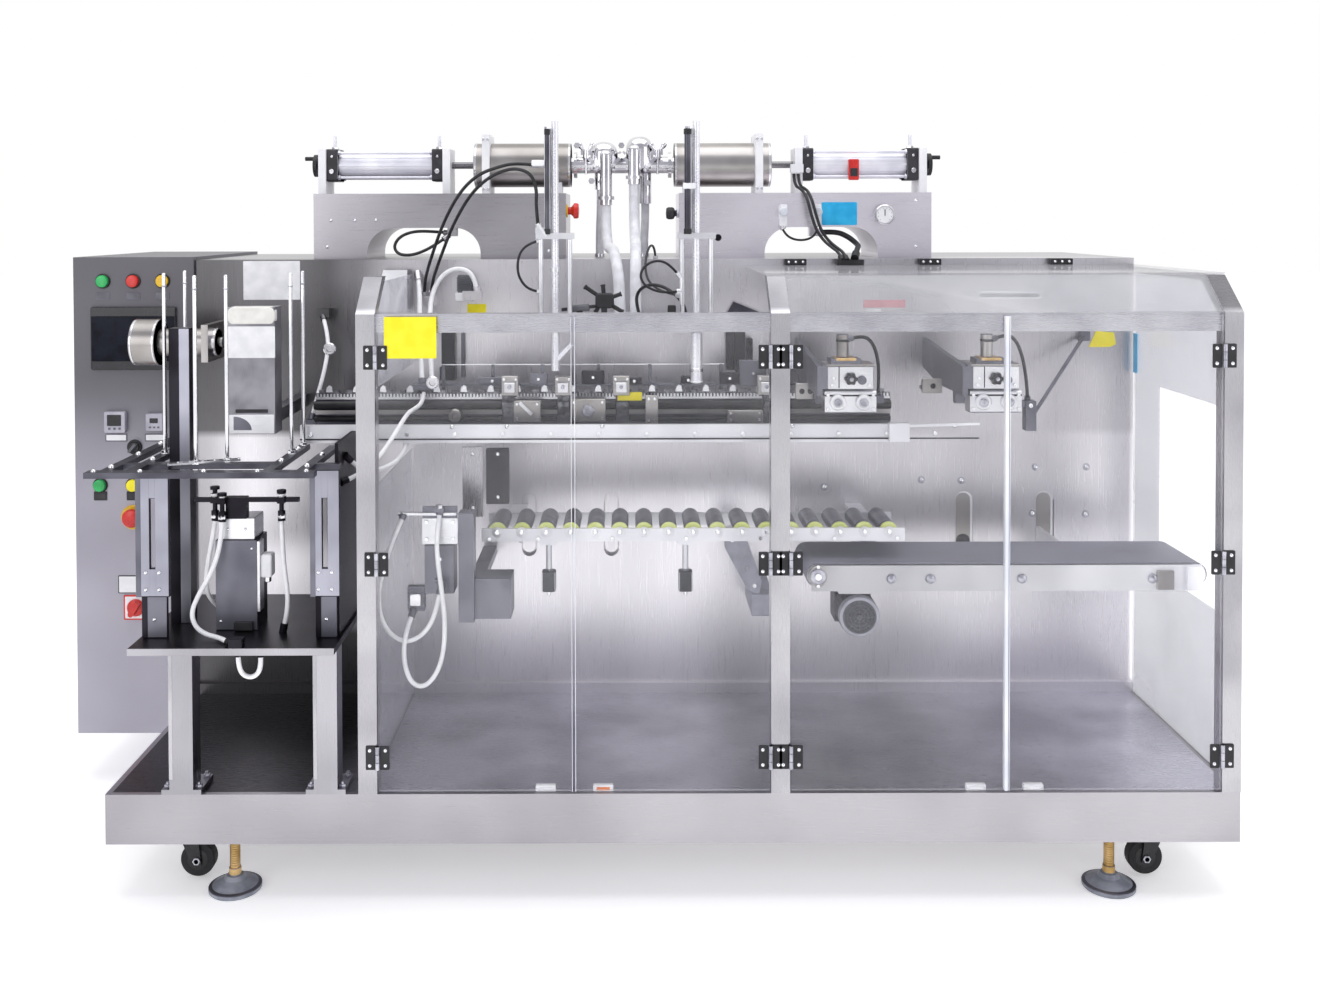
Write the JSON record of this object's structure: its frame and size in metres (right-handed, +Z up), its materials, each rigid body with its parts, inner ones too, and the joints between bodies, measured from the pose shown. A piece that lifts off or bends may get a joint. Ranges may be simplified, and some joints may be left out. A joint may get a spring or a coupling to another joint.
{
  "type": "premade pouch packing machine",
  "caption": "Horizontal premade-pouch fill and seal machine on a wheeled base, with magazine, lane, sealing stations, conveyors, clear guards and a twin piston filler on top.",
  "frame": {"origin": "middle of the bounding box in plan, on the floor under the levelling feet", "axes": "+X along the machine to the discharge end, +Y from the operator's front to the back, +Z up"},
  "size_m": [2.7239, 1.25, 1.672],
  "materials": {
    "stainless": "satin brushed",
    "dark_stainless": "dark mirror-like deck",
    "foot_grey": "matt grey pad under a plated spindle",
    "panel_grey": "satin grey sheet",
    "black_plastic": "matt black",
    "button_red": "gloss caps on black bezels",
    "switch_red": "gloss red",
    "clear_acrylic": "clear polished sheet",
    "light_alloy": "bright anodised",
    "dark_plastic": "matt dark grey",
    "belt_rubber": "dark grey belt",
    "dark_cast": "dark grey paint",
    "dark_anodised": "dark anodised",
    "chain_steel": "ground steel",
    "chrome_rod": "polished",
    "white_plate": "white satin",
    "caster_black": "black enamel",
    "wheel_rubber": "matt black",
    "white_hose": "white silicone",
    "black_tube": "matt black polyurethane",
    "clear_hose": "milky silicone"
  },
  "bodies": {
    "machine": {"base_tray": "stainless", "deck_plate": "dark_stainless", "leveling_feet": "foot_grey", "main_cabinet": "stainless", "control_cabinet": "panel_grey", "control_screen": "black_plastic", "push_buttons": "button_red", "guard_posts": "stainless", "guard_rails": "stainless", "clear_panes": "clear_acrylic", "end_pane": "clear_acrylic", "discharge_pane": "clear_acrylic", "door_hardware": "black_plastic", "roller_frame": "light_alloy", "rollers": "dark_plastic", "belt_frame": "stainless", "conveyor_belt": "belt_rubber", "belt_motor": "dark_cast", "lane_bar": "light_alloy", "lane_bed": "dark_anodised", "pouch_chain": "chain_steel", "sealing_stations": "dark_anodised", "opening_station": "dark_anodised", "magazine_posts": "stainless", "magazine_table": "dark_anodised", "magazine_shelf": "dark_anodised", "magazine_rods": "chrome_rod", "pouch_pusher": "stainless", "magazine_columns": "dark_anodised", "drive_cylinder": "stainless", "filler_boxes": "stainless", "air_cylinders": "light_alloy", "product_cylinders": "stainless", "cylinder_plates": "white_plate", "valve_manifold": "chrome_rod", "nozzle_guides": "light_alloy", "vacuum_hoses": "white_hose", "air_tubes": "black_tube", "product_hoses": "clear_hose"},
    "door_1": {"door_1": "clear_acrylic"},
    "door_2": {"door_2": "clear_acrylic"},
    "door_3": {"door_3": "clear_acrylic"},
    "door_4": {"door_4": "clear_acrylic"},
    "caster_fork_left_front": {"caster_fork_left_front": "caster_black"},
    "caster_wheel_left_front": {"caster_wheel_left_front": "wheel_rubber"},
    "caster_fork_left_rear": {"caster_fork_left_rear": "caster_black"},
    "caster_wheel_left_rear": {"caster_wheel_left_rear": "wheel_rubber"},
    "caster_fork_right_front": {"caster_fork_right_front": "caster_black"},
    "caster_wheel_right_front": {"caster_wheel_right_front": "wheel_rubber"},
    "caster_fork_right_rear": {"caster_fork_right_rear": "caster_black"},
    "caster_wheel_right_rear": {"caster_wheel_right_rear": "wheel_rubber"},
    "rotary_switch": {"rotary_switch": "switch_red"},
    "piston_rod_left": {"piston_rod_left": "chrome_rod"},
    "crank_left": {"crank_left": "black_plastic"},
    "piston_rod_right": {"piston_rod_right": "chrome_rod"},
    "crank_right": {"crank_right": "black_plastic"},
    "nozzle_1": {"nozzle_1": "chrome_rod"},
    "seal_jaw_1": {"seal_jaw_1": "light_alloy"},
    "nozzle_2": {"nozzle_2": "chrome_rod"},
    "seal_jaw_2": {"seal_jaw_2": "light_alloy"}
  },
  "joints": [
    {"name": "door_1_hinge", "type": "hinge", "parent": "machine", "child": "door_1", "pos_m": [-0.4775, -0.5395, 0.738], "axis": [0, 0, -1], "range_deg": [0, 90]},
    {"name": "door_2_hinge", "type": "hinge", "parent": "machine", "child": "door_2", "pos_m": [0.3515, -0.5395, 0.738], "axis": [0, 0, 1], "range_deg": [0, 90]},
    {"name": "door_3_hinge", "type": "hinge", "parent": "machine", "child": "door_3", "pos_m": [0.3945, -0.5395, 0.738], "axis": [0, 0, -1], "range_deg": [0, 90]},
    {"name": "door_4_hinge", "type": "hinge", "parent": "machine", "child": "door_4", "pos_m": [1.3035, -0.5395, 0.738], "axis": [0, 0, 1], "range_deg": [0, 90]},
    {"name": "caster_fork_left_front_swivel", "type": "hinge", "parent": "machine", "child": "caster_fork_left_front", "pos_m": [-0.913, -0.429, 0.1185], "axis": [0, 0, 1], "continuous": true},
    {"name": "caster_wheel_left_front_roll", "type": "hinge", "parent": "caster_fork_left_front", "child": "caster_wheel_left_front", "pos_m": [-0.891, -0.429, 0.0455], "axis": [0, 1, 0], "continuous": true},
    {"name": "caster_fork_left_rear_swivel", "type": "hinge", "parent": "machine", "child": "caster_fork_left_rear", "pos_m": [-0.913, 0.519, 0.1185], "axis": [0, 0, 1], "continuous": true},
    {"name": "caster_wheel_left_rear_roll", "type": "hinge", "parent": "caster_fork_left_rear", "child": "caster_wheel_left_rear", "pos_m": [-0.891, 0.519, 0.0455], "axis": [0, 1, 0], "continuous": true},
    {"name": "caster_fork_right_front_swivel", "type": "hinge", "parent": "machine", "child": "caster_fork_right_front", "pos_m": [1.203, -0.429, 0.1185], "axis": [0, 0, 1], "continuous": true},
    {"name": "caster_wheel_right_front_roll", "type": "hinge", "parent": "caster_fork_right_front", "child": "caster_wheel_right_front", "pos_m": [1.181, -0.429, 0.0455], "axis": [0, 1, 0], "continuous": true},
    {"name": "caster_fork_right_rear_swivel", "type": "hinge", "parent": "machine", "child": "caster_fork_right_rear", "pos_m": [1.203, 0.519, 0.1185], "axis": [0, 0, 1], "continuous": true},
    {"name": "caster_wheel_right_rear_roll", "type": "hinge", "parent": "caster_fork_right_rear", "child": "caster_wheel_right_rear", "pos_m": [1.181, 0.519, 0.0455], "axis": [0, 1, 0], "continuous": true},
    {"name": "rotary_switch_turn", "type": "hinge", "parent": "machine", "child": "rotary_switch", "pos_m": [-1.209, 0.0507, 0.452], "axis": [0, -1, 0], "range_deg": [-90, 0]},
    {"name": "piston_rod_left_slide", "type": "slide", "parent": "machine", "child": "piston_rod_left", "axis": [-1, 0, 0], "range_m": [0, 0.05]},
    {"name": "crank_left_turn", "type": "hinge", "parent": "machine", "child": "crank_left", "pos_m": [-0.775, 0.27, 1.589], "axis": [1, 0, 0], "continuous": true},
    {"name": "piston_rod_right_slide", "type": "slide", "parent": "machine", "child": "piston_rod_right", "axis": [1, 0, 0], "range_m": [0, 0.05]},
    {"name": "crank_right_turn", "type": "hinge", "parent": "machine", "child": "crank_right", "pos_m": [0.851, 0.27, 1.589], "axis": [1, 0, 0], "continuous": true},
    {"name": "nozzle_1_lift", "type": "slide", "parent": "machine", "child": "nozzle_1", "axis": [0, 0, -1], "range_m": [0, 0.06]},
    {"name": "seal_jaw_1_slide", "type": "slide", "parent": "machine", "child": "seal_jaw_1", "axis": [0, 1, 0], "range_m": [0, 0.03]},
    {"name": "nozzle_2_lift", "type": "slide", "parent": "machine", "child": "nozzle_2", "axis": [0, 0, -1], "range_m": [0, 0.06]},
    {"name": "seal_jaw_2_slide", "type": "slide", "parent": "machine", "child": "seal_jaw_2", "axis": [0, 1, 0], "range_m": [0, 0.03]}
  ]
}
